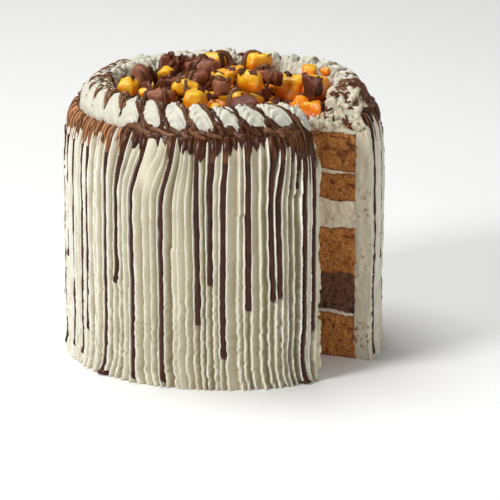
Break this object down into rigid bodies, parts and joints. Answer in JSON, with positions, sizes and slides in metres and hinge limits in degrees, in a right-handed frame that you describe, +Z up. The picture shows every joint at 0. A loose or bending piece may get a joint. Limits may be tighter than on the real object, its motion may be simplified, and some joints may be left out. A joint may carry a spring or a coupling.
{
  "type": "mango and chocolate layer cake",
  "caption": "Tall round layer cake coated in combed whipped cream with chocolate runs, a piped ring and a heap of mango and chocolate, with one wedge cut out.",
  "frame": {"origin": "on the cake's axis, on the surface that it stands on", "axes": "+Z up; -Y towards the viewer of the picture; the cut-out wedge opens towards +X and -Y"},
  "size_m": [0.204, 0.204, 0.177],
  "materials": {
    "whipped_cream": "soft ivory whipped cream, satin, combed",
    "filling_cream": "airy cream with small bubbles",
    "sponge": "golden brown open crumb, matt",
    "mousse": "brown, grainy chocolate mousse, matt",
    "mango": "wet, glossy ripe mango, amber to orange",
    "chocolate_piece": "satin milk chocolate",
    "chocolate_sauce": "glossy dark chocolate that ran and set"
  },
  "bodies": {
    "root": {"sponge_base": "sponge", "cream_lower": "filling_cream", "chocolate_filling": "mousse", "sponge_middle": "sponge", "cream_filling": "filling_cream", "sponge_upper": "sponge", "cream_upper": "filling_cream", "sponge_top": "sponge", "filling_mango_far_1": "mango", "filling_mango_far_2": "mango", "filling_mango_near_1": "mango", "filling_mango_near_2": "mango", "cream_coat": "whipped_cream", "piped_border": "whipped_cream", "mango_01": "mango", "mango_02": "mango", "mango_03": "mango", "mango_04": "mango", "mango_05": "mango", "mango_06": "mango", "mango_07": "mango", "mango_08": "mango", "mango_09": "mango", "mango_10": "mango", "mango_11": "mango", "mango_12": "mango", "mango_13": "mango", "mango_14": "mango", "mango_15": "mango", "mango_16": "mango", "mango_17": "mango", "mango_18": "mango", "mango_19": "mango", "mango_20": "mango", "mango_21": "mango", "mango_22": "mango", "mango_23": "mango", "mango_24": "mango", "mango_25": "mango", "mango_26": "mango", "mango_27": "mango", "mango_28": "mango", "mango_29": "mango", "mango_30": "mango", "mango_31": "mango", "mango_32": "mango", "chocolate_01": "chocolate_piece", "chocolate_02": "chocolate_piece", "chocolate_03": "chocolate_piece", "chocolate_04": "chocolate_piece", "chocolate_05": "chocolate_piece", "chocolate_06": "chocolate_piece", "chocolate_07": "chocolate_piece", "chocolate_08": "chocolate_piece", "chocolate_09": "chocolate_piece", "chocolate_10": "chocolate_piece", "chocolate_11": "chocolate_piece", "chocolate_12": "chocolate_piece", "chocolate_13": "chocolate_piece", "chocolate_14": "chocolate_piece"}
  },
  "joints": []
}
